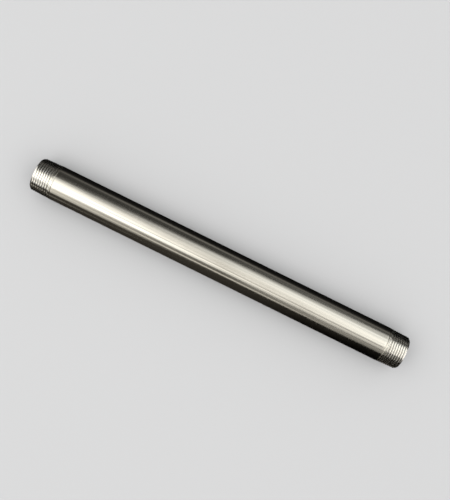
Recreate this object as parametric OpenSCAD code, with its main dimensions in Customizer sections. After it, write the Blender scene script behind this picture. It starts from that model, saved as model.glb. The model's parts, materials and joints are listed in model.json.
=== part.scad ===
// Threaded pipe nipple: one length of steel pipe with a taper pipe thread cut
// into each end. The taper is 1 in 16 on the diameter and the thread is a
// right-hand 60 degree V with a flat along each crest and in each root.
//
// The pipe lies along X. The origin is on the bore's axis, half way between
// the two end faces. All sizes are in millimetres.

/* [Pipe] */
// Overall length, from end face to end face
length = 304.8; // [60:0.1:900]
// Outside diameter of the pipe
outside_d = 26.67; // [26.3:0.01:27.1]
// Thickness of the pipe's wall
wall = 2.87; // [2.7:0.01:3.91]

/* [Thread] */
// Threads per inch, counted along the pipe
threads_per_inch = 14; // [14:1:18]
// Length of full-depth thread, from the end face
full_thread = 13.8; // [9:0.1:16]
// Length over which the thread then fades out into the pipe
runout = 4.0; // [2:0.1:6]
// Width of the flat along each crest
crest_flat = 0.28; // [0.08:0.01:0.4]
// Width of the flat in each root
root_flat = 0.12; // [0.07:0.01:0.2]

/* [Ends] */
// How far below the thread's root the outer chamfer starts, on the radius
face_below_root = 0.15; // [0.05:0.01:0.3]
// Width of the deburred edge at the mouth of the bore
mouth_chamfer = 0.4; // [0.2:0.05:0.5]

/* [Hidden] */

INCH = 25.4;
THREAD_FACETS = 36;    // per turn, for the thread and its blank
PIPE_FACETS = 96;      // round the barrel and the bore
CUT_OVER = 1;          // how far the bore's cutters pass the end faces

// Pipe
PIPE_R = outside_d / 2;
BORE_R = PIPE_R - wall;

// Thread; the radii named _0 are at the end face
PITCH = INCH / threads_per_inch;
SLOPE = 1 / 32;        // rise of the radius along the taper
TAN_FLANK = tan(30);   // each flank leans by half the thread angle
SHARP_V_H = PITCH * sqrt(3) / 2;
// pitch diameter: D - (0.05 D + 1.1 inch) / threads per inch
PITCH_R_0 = (outside_d - (0.05 * outside_d + 1.1 * INCH) / threads_per_inch) / 2;
ROOT_R_0 = PITCH_R_0 - SHARP_V_H / 2 + root_flat / (2 * TAN_FLANK);
CREST_R_0 = PITCH_R_0 + SHARP_V_H / 2 - crest_flat / (2 * TAN_FLANK);
THREAD_END = full_thread + runout;

// Groove that cuts the thread
GROOVE_MOUTH = 0.985 * PITCH;   // a little under the pitch, so turns stay apart
GROOVE_H = (GROOVE_MOUTH - root_flat) / (2 * TAN_FLANK);
GROOVE_START = -1.5 * PITCH;    // outside the end face
GROOVE_PAST_END = 0.25;         // how far the coil goes on past the runout
RUNOUT_CLEAR = 0.08;            // how far the root ends outside the pipe

// Blank of a threaded end
SKIN = 0.02;           // the faceted ends stay this far inside the barrel's surface
BLANK_R = PIPE_R - SKIN;
FACE_R = ROOT_R_0 - face_below_root;
CHAMFER_Z = (CREST_R_0 - FACE_R) / (1 - SLOPE);   // a 45 degree chamfer
TAPER_END = (BLANK_R - CREST_R_0) / SLOPE;        // where the crest meets the pipe
BARREL_GAP = 0.6;      // from the end of thread and taper to the barrel
BARREL_FROM = max(THREAD_END, TAPER_END) + BARREL_GAP;   // from the end face
BARREL_OVERLAP = 1;    // how far a threaded end reaches into the barrel
END_H = BARREL_FROM + BARREL_OVERLAP;

// Root radius at a distance z from the end face. Past full_thread the cutter
// leaves the pipe, along a smooth ramp that ends just outside the surface.
function root_r(z) =
    let (taper_r = ROOT_R_0 + z * SLOPE,
         t = max(0, min(1, (z - full_thread) / runout)))
    taper_r + (PIPE_R + RUNOUT_CLEAR - taper_r) * t * t * (3 - 2 * t);

// Four corners of the groove at one step: root flat, then the open side.
function groove_ring(angle, z) =
    let (inner = root_r(z),
         outer = inner + GROOVE_H,
         corners = [[inner, -root_flat / 2], [inner, root_flat / 2],
                    [outer, GROOVE_MOUTH / 2], [outer, -GROOVE_MOUTH / 2]])
    [for (c = corners) [c[0] * cos(angle), c[0] * sin(angle), z + c[1]]];

// The V groove as one closed coil. It stops once its root has left the pipe.
// With z pointing away from the end face and the angle growing with z, the
// thread is right-hand. Its corners fall half way along the blank's facets.
module groove() {
    steps = ceil((THREAD_END + GROOVE_PAST_END - GROOVE_START) / PITCH * THREAD_FACETS);
    points = [for (i = [0 : steps])
        each groove_ring((i + 0.5) * 360 / THREAD_FACETS,
                         GROOVE_START + i * PITCH / THREAD_FACETS)];
    sides = [for (i = [0 : steps - 1], k = [0 : 3])
        let (a = 4 * i + k, b = 4 * i + (k + 1) % 4)
        each [[a, a + 4, b + 4], [a, b + 4, b]]];
    last = 4 * steps;
    caps = [[0, 1, 2], [0, 2, 3],
            [last + 2, last + 1, last], [last + 3, last + 2, last]];
    polyhedron(points = points, faces = concat(sides, caps), convexity = 20);
}

// Solid blank of a threaded end: chamfer, taper out to the blank's full
// radius, then a short straight length that goes into the barrel.
module end_blank() {
    rotate_extrude($fn = THREAD_FACETS)
        polygon([[0, 0], [FACE_R, 0],
                 [CREST_R_0 + CHAMFER_Z * SLOPE, CHAMFER_Z],
                 [BLANK_R, TAPER_END],
                 [BLANK_R, END_H], [0, END_H]]);
}

// One threaded end with its end face at z = 0, cut as a single faceted block.
// The resize keeps every size as it is; only the height is stated.
module threaded_end() {
    resize([0, 0, END_H])
        difference() {
            end_blank();
            groove();
        }
}

// Plain middle of the pipe, along Z.
module barrel() {
    translate([0, 0, -length / 2 + BARREL_FROM])
        cylinder(h = length - 2 * BARREL_FROM, r = PIPE_R, $fn = PIPE_FACETS);
}

// Places its children as they are, and again turned end for end.
module both_ends() {
    for (turn = [0, 180])
        rotate([turn, 0, 0]) children();
}

// The bore, with a small deburring cone at each mouth, along Z.
module bore_cut() {
    translate([0, 0, -length / 2 - CUT_OVER])
        cylinder(h = length + 2 * CUT_OVER, r = BORE_R, $fn = PIPE_FACETS);
    cone_h = mouth_chamfer + CUT_OVER;
    both_ends()
        translate([0, 0, length / 2 - mouth_chamfer])
            cylinder(h = cone_h, r1 = BORE_R, r2 = BORE_R + cone_h, $fn = PIPE_FACETS);
}

module pipe_nipple() {
    color([0.72, 0.72, 0.69])
        rotate([0, 90, 0])
            difference() {
                union() {
                    barrel();
                    both_ends()
                        translate([0, 0, -length / 2]) threaded_end();
                }
                bore_cut();
            }
}

pipe_nipple();
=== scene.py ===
"""A stainless steel pipe nipple: a plain barrel with a tapered thread cut on each end.

The pipe lies along X, centred on the origin, with Z up. Sizes are in mm unless a name or
comment says metres; the mesh is scaled to metres when it is made.
"""
import json
import math

import bpy
import numpy as np
from mathutils import Matrix, Vector


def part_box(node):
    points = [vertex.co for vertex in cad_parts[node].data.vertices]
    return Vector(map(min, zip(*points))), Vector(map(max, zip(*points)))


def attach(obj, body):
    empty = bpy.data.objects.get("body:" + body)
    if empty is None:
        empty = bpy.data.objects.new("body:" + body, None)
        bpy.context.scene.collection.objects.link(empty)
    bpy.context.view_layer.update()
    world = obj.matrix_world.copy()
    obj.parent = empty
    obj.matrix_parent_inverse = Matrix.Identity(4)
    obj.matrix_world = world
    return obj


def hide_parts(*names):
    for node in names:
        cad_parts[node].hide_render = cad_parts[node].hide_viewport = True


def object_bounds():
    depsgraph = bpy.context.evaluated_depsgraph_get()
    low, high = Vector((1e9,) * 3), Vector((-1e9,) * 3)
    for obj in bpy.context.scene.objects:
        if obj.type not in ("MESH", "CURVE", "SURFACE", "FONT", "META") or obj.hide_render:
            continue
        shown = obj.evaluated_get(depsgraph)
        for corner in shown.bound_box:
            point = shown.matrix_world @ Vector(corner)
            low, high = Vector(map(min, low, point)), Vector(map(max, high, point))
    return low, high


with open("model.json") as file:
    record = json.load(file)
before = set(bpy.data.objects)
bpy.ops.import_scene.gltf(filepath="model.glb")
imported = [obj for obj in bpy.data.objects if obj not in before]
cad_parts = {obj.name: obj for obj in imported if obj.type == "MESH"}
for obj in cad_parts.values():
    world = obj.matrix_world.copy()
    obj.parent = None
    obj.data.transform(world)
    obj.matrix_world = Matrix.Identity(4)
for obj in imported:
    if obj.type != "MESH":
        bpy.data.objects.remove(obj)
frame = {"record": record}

CAD_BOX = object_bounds()

# ---------------------------------------------------------------- sizes, mm
low_corner, high_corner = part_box("pipe_nipple")
mounts = {mount["name"]: mount for mount in frame["record"]["mounts"]}
LENGTH = (high_corner[0] - low_corner[0]) * 1000
PIPE_R = mounts["barrel"]["dims"]["r_mm"]
BORE_R = mounts["bore"]["dims"]["r_mm"]
MOUTH = (LENGTH - mounts["bore"]["dims"]["length_mm"]) / 2    # depth of the bore's chamfer

# the thread: 60 degree flanks, 14 to the inch, on a 1 in 16 taper
INCH = 25.4
PER_INCH = 14
PITCH = INCH / PER_INCH
TAPER = 1 / 32           # growth of the radius along the pipe
CREST_FLAT, ROOT_FLAT = 0.28, 0.12
FULL, RUNOUT = 13.8, 4.0    # lengths of the full thread and of its fading out
FLANK = math.sqrt(3)     # rise of a flank over its run along the pipe
DIAMETER_IN = 2 * PIPE_R / INCH
# radii at the end face: of the pitch line, of the root, of the crest
PITCH_R0 = (DIAMETER_IN - (0.05 * DIAMETER_IN + 1.1) / PER_INCH) * INCH / 2
ROOT_R0 = PITCH_R0 - PITCH * FLANK / 4 + ROOT_FLAT * FLANK / 2
CREST_R0 = PITCH_R0 + PITCH * FLANK / 4 - CREST_FLAT * FLANK / 2
FACE_R = ROOT_R0 - 0.15    # where the outer chamfer would meet the end face
START = PITCH / 2 + PITCH / 72    # how far before the end face the groove lies at angle 0

# roundings of the profile's corners
CHAMFER_ROUND, SHOULDER_ROUND = 0.10, 0.05
ROOT_ROUND, CREST_ROUND = 0.06, 0.16
RUNOUT_LIFT = 0.08       # the root ends its rise this far above the pipe
RUNOUT_SLOPE = 0.6       # rise of the root past the runout

# ---------------------------------------------------------------- mesh grid
SEG = 144                # columns round the pipe
ZONE = 18.4              # axial length of the helical grid at each end, mm
EDGE = 0.09              # rounding where the chamfer meets the end face, mm
EDGE_SNAP, ZONE_SNAP = 0.03, 0.04    # rows this near the grid's limits are moved onto them
BARREL_STEPS, BORE_STEPS = 40, 44

# Places of the rows on one pitch: closest at the root, 0, and at the edge of the crest,
# whose middle is 0.5
CREST_EDGE = 0.5 - CREST_FLAT / 2 / PITCH
HALF = [0.020, 0.042, 0.066, 0.100, 0.160, 0.230]
HALF += [CREST_EDGE + d for d in (-.120, -.075, -.052, -.032, -.014, .004, .026)]
PHASES = np.array([0.0] + HALF + [0.5] + [1 - h for h in reversed(HALF)])
PER = len(PHASES)        # rows per pitch

BARREL, THREAD, FACE, BORE = range(4)    # material slots

# Bands of the UV map: (u0, v0, u1, v1); a is the -X end, b the +X end
UV_BANDS = {
    "barrel": (0.004, 0.004, 0.996, 0.330),
    "bore": (0.004, 0.338, 0.996, 0.560),
    "thread_a": (0.004, 0.568, 0.996, 0.752),
    "thread_b": (0.004, 0.760, 0.996, 0.944),
    "rim_a": (0.004, 0.950, 0.996, 0.970),
    "rim_b": (0.004, 0.976, 0.996, 0.996),
}


# ---------------------------------------------------------------- profile of an end
# z is the distance inwards from the end face
def smooth_min(a, b, width):
    """The smaller of a and b, with the corner between them rounded over width."""
    h = np.maximum(width - np.abs(a - b), 0) / width
    return np.minimum(a, b) - h * h * width / 4


def smooth_max(a, b, width):
    return -smooth_min(-a, -b, width)


def root_radius(z):
    """Radius of the groove's root, which climbs out of the pipe over the runout."""
    base = ROOT_R0 + z * TAPER
    t = np.clip((z - FULL) / RUNOUT, 0, 1)
    climb = base + (PIPE_R + RUNOUT_LIFT - base) * t * t * (3 - 2 * t)
    return climb + np.maximum(z - FULL - RUNOUT, 0) * RUNOUT_SLOPE


def blank_radius(z):
    """Surface of the end before threading: chamfer, taper, then the pipe's own radius."""
    taper = smooth_min(CREST_R0 + z * TAPER, np.full_like(z, PIPE_R), SHOULDER_ROUND)
    return smooth_min(FACE_R + z, taper, CHAMFER_ROUND)


def thread_profile(theta, z):
    """Outer radius, groove depth (0 to 1) and how far the thread has run out (0 to 1)."""
    centre = PITCH * theta / (2 * math.pi) - START
    offset = np.abs((z - centre + PITCH / 2) % PITCH - PITCH / 2)
    rise = FLANK * smooth_max(offset - ROOT_FLAT / 2, np.zeros_like(offset), ROOT_ROUND)
    blank = blank_radius(z)
    radius = smooth_min(root_radius(z) + rise, blank, CREST_ROUND)
    depth = np.clip((blank - radius) / 1.2, 0, 1)
    runout = np.clip((z - FULL + 3.5) / (RUNOUT + 0.8), 0, 1)
    return radius, depth, runout


# ---------------------------------------------------------------- mesh
class Sheet:
    """Vertices, faces and per-face UVs and material slots of the one closed mesh."""

    def __init__(self):
        self.verts, self.depth, self.runout = [], [], []
        self.faces, self.uvs, self.slots = [], [], []

    def add(self, points, depth=None, runout=None):
        """Adds points and returns their indices."""
        first = len(self.verts)
        self.verts += points
        self.depth += depth or [0.0] * len(points)
        self.runout += runout or [1.0] * len(points)
        return list(range(first, len(self.verts)))

    def face(self, corners, uvs, slot):
        """Adds a face without its repeated corners, unless fewer than three are left."""
        keep = [i for i in range(len(corners)) if corners[i] != corners[i - 1]]
        if len(keep) < 3:
            return
        self.faces.append([corners[i] for i in keep])
        self.uvs.append([uvs[i] for i in keep])
        self.slots.append(slot)


def uv_at(band, across, up):
    u0, v0, u1, v1 = UV_BANDS[band]
    return (u0 + (u1 - u0) * across, v0 + (v1 - v0) * up)


def end_point(side, theta, radius, z):
    """From an end's own frame to the pipe's. Side 0 is the -X end, side 1 the +X end."""
    x, y = radius * math.cos(theta), radius * math.sin(theta)
    return (-LENGTH / 2 + z, y, -x) if side == 0 else (LENGTH / 2 - z, -y, -x)


def by_column(side, ring):
    """An end's ring in the order of the barrel's columns; the +X end counts the other way."""
    return ring if side == 0 else [ring[-i % SEG] for i in range(SEG)]


def add_thread(sheet, side):
    """The threaded outside of one end. Returns the rings at the rim and at the barrel."""
    first_row, last_row = -2 * PER, (int(ZONE / PITCH) + 3) * PER
    rows = np.arange(first_row, last_row + 1)
    row_z = (rows // PER + PHASES[rows % PER]) * PITCH - START
    rim, shoulder = [], []
    grid = {}            # (column, row): (vertex, z)
    for i in range(SEG):
        theta = 2 * math.pi * i / SEG
        z = row_z + PITCH * i / SEG
        z = np.where(z < EDGE + EDGE_SNAP, EDGE, np.where(z > ZONE - ZONE_SNAP, ZONE, z))
        radius, depth, runout = thread_profile(theta, z)
        # rows moved onto the same limit share one vertex
        kept = [k for k in range(len(z)) if k == 0 or z[k] != z[k - 1]]
        ids = sheet.add([end_point(side, theta, float(radius[k]), float(z[k])) for k in kept],
                        [float(depth[k]) for k in kept], [float(runout[k]) for k in kept])
        at = -1
        for k, row in enumerate(rows):
            if k == 0 or z[k] != z[k - 1]:
                at += 1
            grid[i, row] = (ids[at], float(z[k]))
        rim.append(ids[0])
        shoulder.append(ids[-1])
    band = ("thread_a", "thread_b")[side]
    for i in range(SEG):
        # after a whole turn the helix meets the first column one pitch further on
        jump = PER if i == SEG - 1 else 0
        n = (i + 1) % SEG
        for row in range(first_row, last_row):
            if row + 1 + jump > last_row:
                continue
            corners = [grid[i, row], grid[n, row + jump],
                       grid[n, row + 1 + jump], grid[i, row + 1]]
            if len({z for _, z in corners}) == 1:
                continue
            uvs = [uv_at(band, column / SEG, z / ZONE)
                   for column, (_, z) in zip((i, i + 1, i + 1, i), corners)]
            # past the runout the surface is the pipe's own
            threaded = min(z for _, z in corners) < FULL + RUNOUT + 0.3
            sheet.face([vertex for vertex, _ in corners], uvs, THREAD if threaded else BARREL)
    return rim, shoulder


def add_rim(sheet, side, rim):
    """The end face, from the thread's rim to the bore. Returns the ring at the bore."""
    mouth_r = BORE_R + MOUTH
    # (radius, distance from the end face)
    profile = [
        (FACE_R + EDGE, EDGE),                    # the rim, already made
        (FACE_R + 0.030, 0.030),                  # rounded outer edge
        (FACE_R - 0.005, 0.008),
        (FACE_R - 0.060, 0.0),                    # flat ring
        (mouth_r + 0.30, 0.0),
        (mouth_r + 0.05, 0.0),
        (mouth_r - 0.01, 0.010),                  # chamfered mouth
        (mouth_r - 0.05, 0.045),
        (BORE_R + 0.06, MOUTH - 0.07),
        (BORE_R + 0.015, MOUTH - 0.005),
        (BORE_R, MOUTH + 0.05),
    ]
    travel = [0.0]
    for (r0, z0), (r1, z1) in zip(profile, profile[1:]):
        travel.append(travel[-1] + math.hypot(r1 - r0, z1 - z0))
    band = ("rim_a", "rim_b")[side]
    outer = rim
    for k, (radius, z) in enumerate(profile[1:]):
        inner = sheet.add([end_point(side, 2 * math.pi * i / SEG, radius, z)
                           for i in range(SEG)])
        outer_v, inner_v = travel[k] / travel[-1], travel[k + 1] / travel[-1]
        for i in range(SEG):
            n = (i + 1) % SEG
            uvs = [uv_at(band, (i + 1) / SEG, outer_v), uv_at(band, (i + 1) / SEG, inner_v),
                   uv_at(band, i / SEG, inner_v), uv_at(band, i / SEG, outer_v)]
            sheet.face([outer[n], inner[n], inner[i], outer[i]][::1] if False else
                       [inner[n], outer[n], outer[i], inner[i]],
                       [uvs[1], uvs[0], uvs[3], uvs[2]], FACE)
        outer = inner
    return outer


def add_tube(sheet, rings, half_length, radius, steps, band, slot, outward):
    """A plain cylinder between two existing rings, given by column."""
    sections = [rings[0]]
    for x in np.linspace(-half_length, half_length, steps + 1)[1:-1]:
        angles = [2 * math.pi * i / SEG for i in range(SEG)]
        sections.append(sheet.add([(float(x), radius * math.sin(t), -radius * math.cos(t))
                                   for t in angles]))
    sections.append(rings[1])
    for k in range(steps):
        for i in range(SEG):
            corners = [(k, i), (k, i + 1), (k + 1, i + 1), (k + 1, i)]
            if not outward:
                corners.reverse()
            sheet.face([sections[s][c % SEG] for s, c in corners],
                       [uv_at(band, s / steps, c / SEG) for s, c in corners], slot)


def build_sheet():
    sheet = Sheet()
    mouths, shoulders = [], []
    for side in (0, 1):
        rim, shoulder = add_thread(sheet, side)
        mouths.append(by_column(side, add_rim(sheet, side, rim)))
        shoulders.append(by_column(side, shoulder))
    add_tube(sheet, shoulders, half_length=LENGTH / 2 - ZONE, radius=PIPE_R,
             steps=BARREL_STEPS, band="barrel", slot=BARREL, outward=True)
    add_tube(sheet, mouths, half_length=LENGTH / 2 - MOUTH - 0.05, radius=BORE_R,
             steps=BORE_STEPS, band="bore", slot=BORE, outward=False)
    return sheet


def build_pipe():
    sheet = build_sheet()
    mesh = bpy.data.meshes.new("pipe_nipple_mesh")
    mesh.from_pydata([tuple(c / 1000 for c in point) for point in sheet.verts], [], sheet.faces)
    layer = mesh.uv_layers.new(name="OFBake")
    layer.data.foreach_set("uv", [c for uvs in sheet.uvs for uv in uvs for c in uv])
    mesh.polygons.foreach_set("material_index", sheet.slots)
    mesh.polygons.foreach_set("use_smooth", [True] * len(mesh.polygons))
    for name, values in (("groove_depth", sheet.depth), ("thread_runout", sheet.runout)):
        mesh.attributes.new(name, "FLOAT", "POINT").data.foreach_set("value", values)
    mesh.update()
    mesh.validate()
    return link_object("threaded_pipe_nipple", mesh)


def link_object(name, data):
    made = bpy.data.objects.new(name, data)
    bpy.context.scene.collection.objects.link(made)
    return made


# ---------------------------------------------------------------- shader nodes
class Nodes:
    """Short calls that add nodes to one tree. Most return the new node's output socket."""

    def __init__(self, tree):
        self.tree = tree

    def add(self, kind, inputs=None, **settings):
        """A node with its settings; each input is given a socket to link or a value."""
        node = self.tree.nodes.new("ShaderNode" + kind)
        for key, value in settings.items():
            setattr(node, key, value)
        for key, value in (inputs or {}).items():
            self.put(value, node.inputs[key])
        return node

    def put(self, value, socket):
        if isinstance(value, bpy.types.NodeSocket):
            self.tree.links.new(value, socket)
        else:
            socket.default_value = value

    def calc(self, operation, a, b=0.0):
        return self.add("Math", {0: a, 1: b}, operation=operation).outputs[0]

    def total(self, first, *others):
        for other in others:
            first = self.calc("ADD", first, other)
        return first

    def vector(self, operation, a, b):
        return self.add("VectorMath", {0: a, 1: b}, operation=operation).outputs[0]

    def scaled(self, colour, by):
        """A colour of three parts times a number."""
        return self.add("VectorMath", {0: colour, "Scale": by}, operation="SCALE").outputs[0]

    def axes(self, vector):
        return self.add("SeparateXYZ", {0: vector}).outputs

    def remap(self, x, span, to=(0.0, 1.0), soft=False):
        """Maps the range span onto the range to, clamped."""
        return self.add("MapRange", {"Value": x, "From Min": span[0], "From Max": span[1],
                                     "To Min": to[0], "To Max": to[1]},
                        interpolation_type="SMOOTHSTEP" if soft else "LINEAR").outputs[0]

    def mix(self, factor, a, b):
        """From colour a, at 0, to colour b, at 1."""
        return self.add("Mix", {0: factor, 6: a, 7: b}, data_type="RGBA").outputs[2]

    def ramp(self, place, stops, tint=(1, 1, 1), interpolation="LINEAR"):
        """stops: (place from 0 to 1, brightness)."""
        node = self.add("ValToRGB", {0: place})
        node.color_ramp.interpolation = interpolation
        elements = node.color_ramp.elements

        def tinted(brightness):
            return (*[brightness * c for c in tint], 1)

        for element, (position, brightness) in zip(elements, (stops[0], stops[-1])):
            element.position, element.color = position, tinted(brightness)
        for position, brightness in stops[1:-1]:
            elements.new(position).color = tinted(brightness)
        return node.outputs[0]


class Metal(Nodes):
    """The node tree of a metal material. Lengths are in metres."""

    def __init__(self, name):
        self.material = bpy.data.materials.new(name)
        self.material.use_nodes = True
        super().__init__(self.material.node_tree)
        self.tree.nodes.clear()
        self.bsdf = self.add("BsdfPrincipled", {"Metallic": 1.0})
        self.add("OutputMaterial", {0: self.bsdf.outputs[0]})
        self.place = self.add("TexCoord").outputs["Object"]

    def noise(self, scale, detail=2.0, rough=0.5, offset=0.0):
        """Noise stretched by a scale for each axis, per metre."""
        mapping = self.add("Mapping", {
            "Scale": scale, "Location": (offset, offset * 1.7, offset * 0.6),
            "Vector": self.place})
        return self.add("TexNoise", {"Scale": 1.0, "Detail": detail, "Roughness": rough,
                                     "Vector": mapping.outputs[0]}).outputs["Fac"]

    def vary(self, noise, low, high):
        """The usual range of a noise mapped onto low to high."""
        return self.remap(noise, span=(0.3, 0.7), to=(low, high))

    def attribute(self, name):
        return self.add("Attribute", attribute_name=name).outputs["Fac"]

    def axis_distance(self):
        """Distance from the pipe's axis."""
        _, y, z = self.axes(self.place)
        return self.calc("SQRT", self.calc("ADD", self.calc("MULTIPLY", y, y),
                                           self.calc("MULTIPLY", z, z)))

    def seam(self):
        """A factor that is a little darker along the pipe's weld line, ground flush."""
        _, y, z = self.axes(self.place)
        wander = self.vary(self.noise(scale=(14, 0, 0), offset=5.5), low=-0.006, high=0.006)
        angle = self.total(self.calc("ARCTAN2", y, z), wander, math.radians(SEAM))
        return self.remap(self.calc("ABSOLUTE", angle), span=(0.014, 0.045), to=(0.72, 1.0),
                          soft=True)

    def finish(self, colour, rough, bumps, grain=None):
        """Links up the surface. bumps: (height, distance, strength), laid one on another.
        grain: strength of the anisotropic highlights, from marks that run round the pipe."""
        self.put(colour, self.bsdf.inputs["Base Color"])
        self.put(rough, self.bsdf.inputs["Roughness"])
        if grain is not None:
            tangent = self.add("Tangent", direction_type="RADIAL", axis="X")
            self.put(tangent.outputs[0], self.bsdf.inputs["Tangent"])
            self.put(grain, self.bsdf.inputs["Anisotropic"])
            self.put(0.25, self.bsdf.inputs["Anisotropic Rotation"])
        under = {}
        for height, distance, strength in bumps:
            bump = self.add("Bump", {"Distance": distance, "Strength": strength,
                                     "Height": height, **under})
            under = {"Normal": bump.outputs[0]}
        self.put(under["Normal"], self.bsdf.inputs["Normal"])
        return self.material


# ---------------------------------------------------------------- materials
STEEL = (0.700, 0.668, 0.590, 1)
# painted light: the thread's crests and flanks are coloured brighter than the steel itself, to
# make up for the light lost between the flanks
CREST_WITH_PAINTED_LIGHT = (0.97, 0.945, 0.89, 1)
FLANK_WITH_PAINTED_LIGHT = (0.965, 0.95, 0.905, 1)
# painted shade: the dark colour laid into the thread's roots
PAINTED_ROOT_SHADE = (0.15, 0.14, 0.12, 1)
FACE_STEEL = (0.62, 0.60, 0.545)
BORE_STEEL = (0.50, 0.485, 0.445)
BORE_STAIN = (0.33, 0.30, 0.255, 1)
SEAM = 8.5               # degrees from the top of the pipe towards -Y
TURNING_STEP = 0.00016   # metres between the turning marks of the end faces


def polished_steel():
    n = Metal("polished_stainless_steel")
    round_marks = n.noise(scale=(5200, 90, 90), detail=3.0, rough=0.6)
    lines = n.noise(scale=(3.5, 1500, 1500), detail=3.0, rough=0.55, offset=3.1)
    wide_lines = n.noise(scale=(2.2, 380, 380), offset=7.7)
    cloud = n.noise(scale=(22, 60, 60), offset=1.3)
    tone = n.total(n.vary(lines, low=0.925, high=1.05), n.vary(cloud, low=-0.04, high=0.04),
                   n.vary(wide_lines, low=-0.065, high=0.055),
                   n.vary(round_marks, low=-0.02, high=0.02))
    return n.finish(
        colour=n.scaled(STEEL[:3], by=n.calc("MULTIPLY", tone, n.seam())),
        rough=n.total(n.remap(round_marks, span=(0.25, 0.75), to=(0.15, 0.23)),
                      n.vary(cloud, low=-0.02, high=0.03)),
        grain=0.75,
        bumps=[(round_marks, 0.000012, 0.5), (lines, 0.000010, 0.25),
               (wide_lines, 0.00003, 0.25)])


def cut_thread():
    """Crests and flanks painted brighter than the steel itself, as painted light for the light
    lost between the flanks; painted shade in the roots.
    """
    n = Metal("die_cut_stainless_thread")
    depth = n.attribute("groove_depth")
    runout = n.attribute("thread_runout")
    marks = n.noise(scale=(4000, 110, 110), offset=5.2)
    tear = n.noise(scale=(900, 260, 260), offset=2.4)
    cloud = n.noise(scale=(120, 120, 120), offset=9.0)
    flank = n.remap(depth, span=(0.12, 0.45))
    root = n.remap(depth, span=(0.86, 0.98))
    tone = n.total(n.vary(tear, low=0.97, high=1.03), n.vary(marks, low=-0.02, high=0.02))
    # painted light: crests and flanks brighter than the steel, the crests fading to the
    # barrel's steel over the runout
    steel = n.mix(flank, n.mix(runout, CREST_WITH_PAINTED_LIGHT, STEEL), FLANK_WITH_PAINTED_LIGHT)
    # painted shade in the roots, varied a little by a cloud noise
    painted_root_shade = n.calc("MULTIPLY", root, n.vary(cloud, low=0.6, high=0.95))
    return n.finish(
        colour=n.scaled(n.mix(painted_root_shade, steel, PAINTED_ROOT_SHADE), by=tone),
        rough=n.total(n.remap(runout, span=(0, 1), to=(0.12, 0.17)),
                      n.vary(tear, low=-0.02, high=0.03)),
        grain=0.5,
        bumps=[(marks, 0.000008, 0.3), (tear, 0.00001, 0.3)])


def turned_face():
    n = Metal("turned_end_face")
    turns = n.calc("MULTIPLY", n.axis_distance(), 2 * math.pi / TURNING_STEP)
    wave = n.calc("SINE", turns)
    tear = n.noise(scale=(900, 900, 900), detail=3.0, rough=0.6, offset=4.4)
    cloud = n.noise(scale=(260, 260, 260), offset=8.0)
    return n.finish(
        colour=n.scaled(FACE_STEEL, by=n.vary(tear, low=0.90, high=1.06)),
        rough=n.vary(cloud, low=0.24, high=0.36),
        grain=0.5,
        bumps=[(wave, 0.000006, 0.5), (tear, 0.00003, 0.4)])


def bore_steel():
    n = Metal("dull_bore_steel")
    lines = n.noise(scale=(9, 900, 900), detail=3.0, rough=0.6, offset=6.1)
    scale = n.noise(scale=(260, 420, 420), detail=4.0, rough=0.62, offset=2.9)
    cloud = n.noise(scale=(30, 90, 90), offset=4.0)
    tone = n.total(n.vary(scale, low=0.80, high=1.06), n.vary(lines, low=-0.07, high=0.06))
    stain = n.remap(cloud, span=(0.42, 0.62), to=(0.0, 0.35))
    return n.finish(
        colour=n.mix(stain, n.scaled(BORE_STEEL, by=tone), BORE_STAIN),
        rough=n.vary(scale, low=0.36, high=0.52),
        bumps=[(scale, 0.00004, 0.5), (lines, 0.00003, 0.4)])


pipe = build_pipe()
# in the order of the material slots
for make in (polished_steel, cut_thread, turned_face, bore_steel):
    pipe.data.materials.append(make())

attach(pipe, "root")
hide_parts("pipe_nipple")


# ---------------------------------------------------------------- floor, metres
FLOOR_SIZE = 14.0
FLOOR_GREY = (0.335, 0.335, 0.335, 1)


def build_floor():
    """A square of matt grey under the pipe."""
    mesh = bpy.data.meshes.new("floor")
    s, z = FLOOR_SIZE / 2, CAD_BOX[0][2]
    mesh.from_pydata([(-s, -s, z), (s, -s, z), (s, s, z), (-s, s, z)], [], [(0, 1, 2, 3)])
    floor = link_object("floor", mesh)
    material = bpy.data.materials.new("floor")
    material.use_nodes = True
    inputs = material.node_tree.nodes["Principled BSDF"].inputs
    inputs["Base Color"].default_value = FLOOR_GREY
    inputs["Roughness"].default_value = 0.9
    inputs["Specular IOR Level"].default_value = 0.1
    mesh.materials.append(material)
    # the steel shows a dark studio round it, with only the lamps in it
    floor.visible_glossy = False


build_floor()


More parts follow.
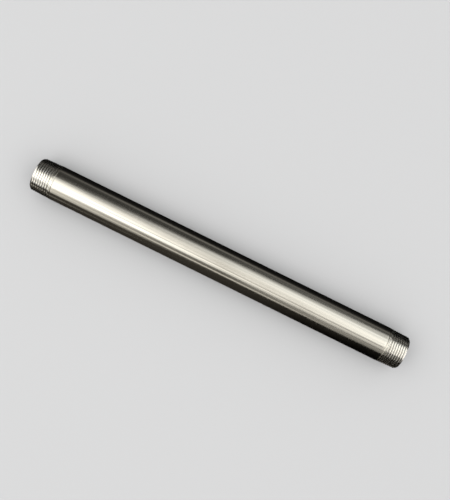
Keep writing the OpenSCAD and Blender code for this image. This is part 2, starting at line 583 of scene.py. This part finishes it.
# ---------------------------------------------------------------- world
def mirrored_room(nodes):
    """What the steel mirrors away from the lamps: a dim room, warmer on the -Y side.
    Incoming points back along the ray, so a positive part of it means a negative direction."""
    back_x, back_y, back_z = nodes.axes(nodes.add("NewGeometry").outputs["Incoming"])
    # 0 is straight down, 0.5 the horizon, 1 straight up
    height = nodes.remap(back_z, span=(1.0, -1.0))
    minus_y = nodes.remap(back_y, span=(-0.25, 0.25), soft=True)
    far_side = nodes.ramp(
        height, tint=(1.0, 0.98, 0.94),
        stops=[(0.0, 0.006), (0.30, 0.007), (0.47, 0.034), (0.58, 0.062), (0.72, 0.046),
               (1.0, 0.09)])
    near_side = nodes.ramp(
        height, tint=(1.0, 0.91, 0.78),
        stops=[(0.0, 0.038), (0.20, 0.034), (0.42, 0.048), (0.52, 0.050), (0.66, 0.045),
               (1.0, 0.10)])
    # the -Y side darkens towards +X
    fade = nodes.remap(back_x, span=(-0.03, -0.12), to=(1.0, 0.04), soft=True)
    room = nodes.mix(minus_y, far_side, nodes.scaled(near_side, by=fade))
    # past the two ends lies a pale bench
    bench = nodes.ramp(
        height, tint=(1.0, 0.985, 0.95),
        stops=[(0.0, 0.0), (0.30, 0.0), (0.36, 1.1), (0.43, 1.1), (0.475, 0.0), (1.0, 0.0)])
    endward = nodes.add("Math", {0: back_x}, operation="ABSOLUTE").outputs[0]
    bench = nodes.scaled(bench, by=nodes.remap(endward, span=(0.80, 0.93), soft=True))
    # and a narrow glint low on the -Y side, towards -X
    glint = nodes.ramp(
        height, tint=(1.0, 0.96, 0.88),
        stops=[(0.0, 0.0), (0.30, 0.0), (0.34, 0.36), (0.37, 0.36), (0.42, 0.0), (1.0, 0.0)])
    minus_x = nodes.remap(back_x, span=(0.185, 0.24), soft=True)
    glint = nodes.scaled(glint, by=nodes.calc("MULTIPLY", minus_y, minus_x))
    return nodes.vector("ADD", room, nodes.vector("ADD", bench, glint))


def build_world():
    """Pale to matt surfaces, a dim room to mirrors, plain grey to the camera."""
    world = bpy.data.worlds.new("studio")
    bpy.context.scene.world = world
    world.use_nodes = True
    nodes = Nodes(world.node_tree)
    nodes.tree.nodes.clear()

    def background(colour, strength=1.0):
        return nodes.add("Background", {"Color": colour, "Strength": strength}).outputs[0]

    def choose(test, otherwise, chosen):
        return nodes.add("MixShader", {0: test, 1: otherwise, 2: chosen}).outputs[0]

    ray = nodes.add("LightPath").outputs
    pale = background((0.78, 0.78, 0.79, 1), strength=1.92)
    lit = choose(ray["Is Diffuse Ray"], background(mirrored_room(nodes)), pale)
    # the backdrop above the floor, in the tone of the floor's far edge
    backdrop = background((0.456, 0.456, 0.461, 1))
    nodes.add("OutputWorld", {0: choose(ray["Is Camera Ray"], lit, backdrop)})


build_world()

# ---------------------------------------------------------------- lamps, metres and degrees
WARM = (1.0, 0.975, 0.93)
DAY = (0.985, 1.0, 1.0)
SOFT = [(0.0, 0.0), (0.35, 1.0), (0.65, 1.0), (1.0, 0.0)]


def soft_box(name, location, rotation, size, radiance, colour=DAY, diffuse=True,
             across=None, along=None):
    """A rectangular lamp. along and across are stops of brightness over its local X and Y:
    lists of (place on the box from 0 to 1, brightness)."""
    data = bpy.data.lights.new(name, "AREA")
    data.shape = "RECTANGLE"
    data.size, data.size_y = size
    data.energy = radiance * math.pi * size[0] * size[1]
    data.color = colour
    box = link_object(name, data)
    box.location = location
    box.rotation_euler = rotation
    box.visible_camera = False
    box.visible_diffuse = diffuse
    data.use_nodes = True
    nodes = Nodes(data.node_tree)
    places = nodes.axes(nodes.add("NewGeometry").outputs["Parametric"])
    ramps = [nodes.ramp(places[axis], stops, interpolation="EASE")
             for axis, stops in ((1, across), (0, along)) if stops]
    brightness = nodes.vector("MULTIPLY", *ramps) if len(ramps) == 2 else ramps[0]
    nodes.put(brightness, nodes.tree.nodes["Emission"].inputs["Color"])


def lamp(name, angle, distance=1.25, yaw=0.0, **box):
    """A soft box that faces the pipe from an angle off the vertical, positive towards -Y."""
    a = math.radians(angle)
    tilt = Matrix.Rotation(a, 4, "X") @ Matrix.Rotation(math.radians(yaw), 4, "Z")
    soft_box(name, (0.0, -math.sin(a) * distance, math.cos(a) * distance), tilt.to_euler(),
             **box)


# the large card over the pipe, bright panes to its left and right,
# and the cards and strips beside it
lamp("fill_card", angle=4, size=(4.0, 1.69), radiance=0.72, colour=(1.0, 0.985, 0.955),
     across=[(0.0, 0.45), (0.05, 0.68), (0.12, 1.0), (0.68, 1.0), (1.0, 0.0)])
lamp("left_pane", angle=19, size=(2.0, 1.15), radiance=1.5, yaw=12,
     across=[(0.0, 0.0), (0.25, 1.0), (0.72, 1.0), (1.0, 0.0)],
     along=[(0.0, 1.0), (0.35, 1.0), (0.45, 0.26), (0.50, 0.0), (1.0, 0.0)])
lamp("left_pane_upper", angle=-4, size=(2.0, 0.78), radiance=0.70,
     across=[(0.0, 0.0), (0.30, 1.0), (0.60, 1.0), (1.0, 0.0)],
     along=[(0.0, 1.0), (0.31, 1.0), (0.39, 0.22), (0.44, 0.0), (1.0, 0.0)])
lamp("left_end_pane", angle=-25, size=(2.0, 0.50), radiance=0.78, across=SOFT,
     along=[(0.0, 1.0), (0.26, 1.0), (0.32, 0.0), (1.0, 0.0)])
lamp("right_pane", angle=-6, size=(2.0, 0.80), radiance=0.78, yaw=-14, across=SOFT,
     along=[(0.0, 0.0), (0.57, 0.0), (0.64, 0.55), (0.70, 1.0), (1.0, 1.0)])
lamp("right_pane_upper", angle=-26, size=(2.0, 0.95), radiance=0.88, across=SOFT,
     along=[(0.0, 0.0), (0.50, 0.0), (0.56, 0.80), (0.62, 1.0), (1.0, 1.0)])
lamp("side_card", angle=-31, size=(2.4, 0.95), radiance=0.78, yaw=46,
     across=[(0.0, 0.0), (0.50, 1.0), (0.64, 1.0), (0.90, 0.0), (1.0, 0.0)],
     along=[(0.0, 0.15), (0.34, 0.26), (0.42, 0.46), (0.50, 0.90), (1.0, 1.0)])
lamp("rim_card", angle=-73, distance=1.30, size=(2.0, 0.42), radiance=0.17, diffuse=False,
     across=SOFT,
     along=[(0.0, 0.0), (0.54, 0.0), (0.60, 1.0), (0.645, 1.0), (0.69, 0.1), (1.0, 0.0)])
lamp("low_card", angle=60, distance=1.30, size=(2.0, 0.85), radiance=0.95, colour=WARM,
     diffuse=False,
     across=[(0.0, 0.3), (0.15, 0.80), (0.50, 0.85), (1.0, 1.0)],
     along=[(0.0, 1.0), (0.33, 0.95), (0.38, 0.29), (0.43, 0.06), (0.50, 0.0), (1.0, 0.0)])
lamp("low_card_right", angle=51, distance=1.30, size=(2.0, 0.50), radiance=0.34, colour=WARM,
     diffuse=False,
     across=[(0.0, 0.6), (0.30, 0.8), (1.0, 1.0)],
     along=[(0.0, 0.0), (0.50, 0.0), (0.60, 1.0), (1.0, 1.0)])
lamp("edge_strip", angle=61.5, distance=1.30, size=(2.0, 0.20), radiance=0.82,
     colour=(1.0, 0.97, 0.91), diffuse=False,
     along=[(0.0, 0.0), (0.33, 0.1), (0.43, 0.9), (0.56, 0.9), (0.64, 0.15), (0.70, 0.0),
            (1.0, 0.0)])
lamp("line_strip", angle=23, size=(2.0, 0.16), radiance=0.65, colour=WARM, diffuse=False,
     along=[(0.0, 0.0), (0.34, 0.0), (0.42, 1.0), (0.56, 1.0), (0.64, 0.0), (1.0, 0.0)])
lamp("back_glow", angle=-89, distance=1.40, size=(2.0, 0.34), radiance=0.17, colour=WARM,
     diffuse=False,
     along=[(0.0, 0.4), (0.32, 0.45), (0.44, 1.0), (0.51, 0.9), (0.58, 0.6), (1.0, 0.6)])

# cards that face each thread from beyond its end: the light that comes out of the grooves
# after two reflections. (name, end of the pipe on X, place from the thread, size, radiance)
THREAD_CARDS = [
    ("thread_card_left", -1, (-0.70, -0.24, 0.61), (1.50, 0.80), 0.92),
    ("thread_card_low", -1, (-0.58, -0.74, 0.24), (0.50, 0.55), 0.75),
    ("thread_card_right", 1, (0.70, 0.50, 0.60), (0.72, 0.80), 1.20),
]
THREAD_X = LENGTH / 2000 - 0.008    # the point on each thread that its cards face
for name, end, offset, size, radiance in THREAD_CARDS:
    way = Vector(offset)
    soft_box(name, Vector((end * THREAD_X, 0, 0)) + way,
             way.to_track_quat("Z", "Y").to_euler(),
             size=size, radiance=radiance, diffuse=False, across=SOFT, along=SOFT)

# a low card beyond each end, for the chamfers and the end faces
for name, end in (("end_card_left", -1), ("end_card_right", 1)):
    soft_box(name, (end * 1.4, -0.1, 0.16), (math.radians(90), 0, math.radians(90 * end)),
             size=(1.3, 0.8), radiance=0.9, colour=WARM, diffuse=False,
             across=SOFT, along=SOFT)

# ---------------------------------------------------------------- camera
LENS, SENSOR = 59.6, 36
TURN = math.radians(26.3)    # of the camera about the vertical
# in metres, worked out from the pipe's length
VIEW_WIDTH = 1.22850123 * LENGTH / 1000    # seen across the picture at the pipe's axis
SHIFT_RIGHT = 0.0127764128 * LENGTH / 1000
SHIFT_UP = 0.0329238329 * LENGTH / 1000


def build_camera():
    """Looks straight down, a little off the pipe's middle."""
    data = bpy.data.cameras.new("camera")
    data.lens = LENS
    data.sensor_width = SENSOR
    data.clip_start, data.clip_end = 0.01, 50
    camera = link_object("camera", data)
    camera.location = (math.cos(TURN) * SHIFT_RIGHT - math.sin(TURN) * SHIFT_UP,
                       math.sin(TURN) * SHIFT_RIGHT + math.cos(TURN) * SHIFT_UP,
                       LENS / SENSOR * VIEW_WIDTH)
    camera.rotation_euler = (0, 0, TURN)
    bpy.context.scene.camera = camera


build_camera()
bpy.context.scene.view_settings.view_transform = "Standard"
bpy.context.scene.view_settings.look = "None"
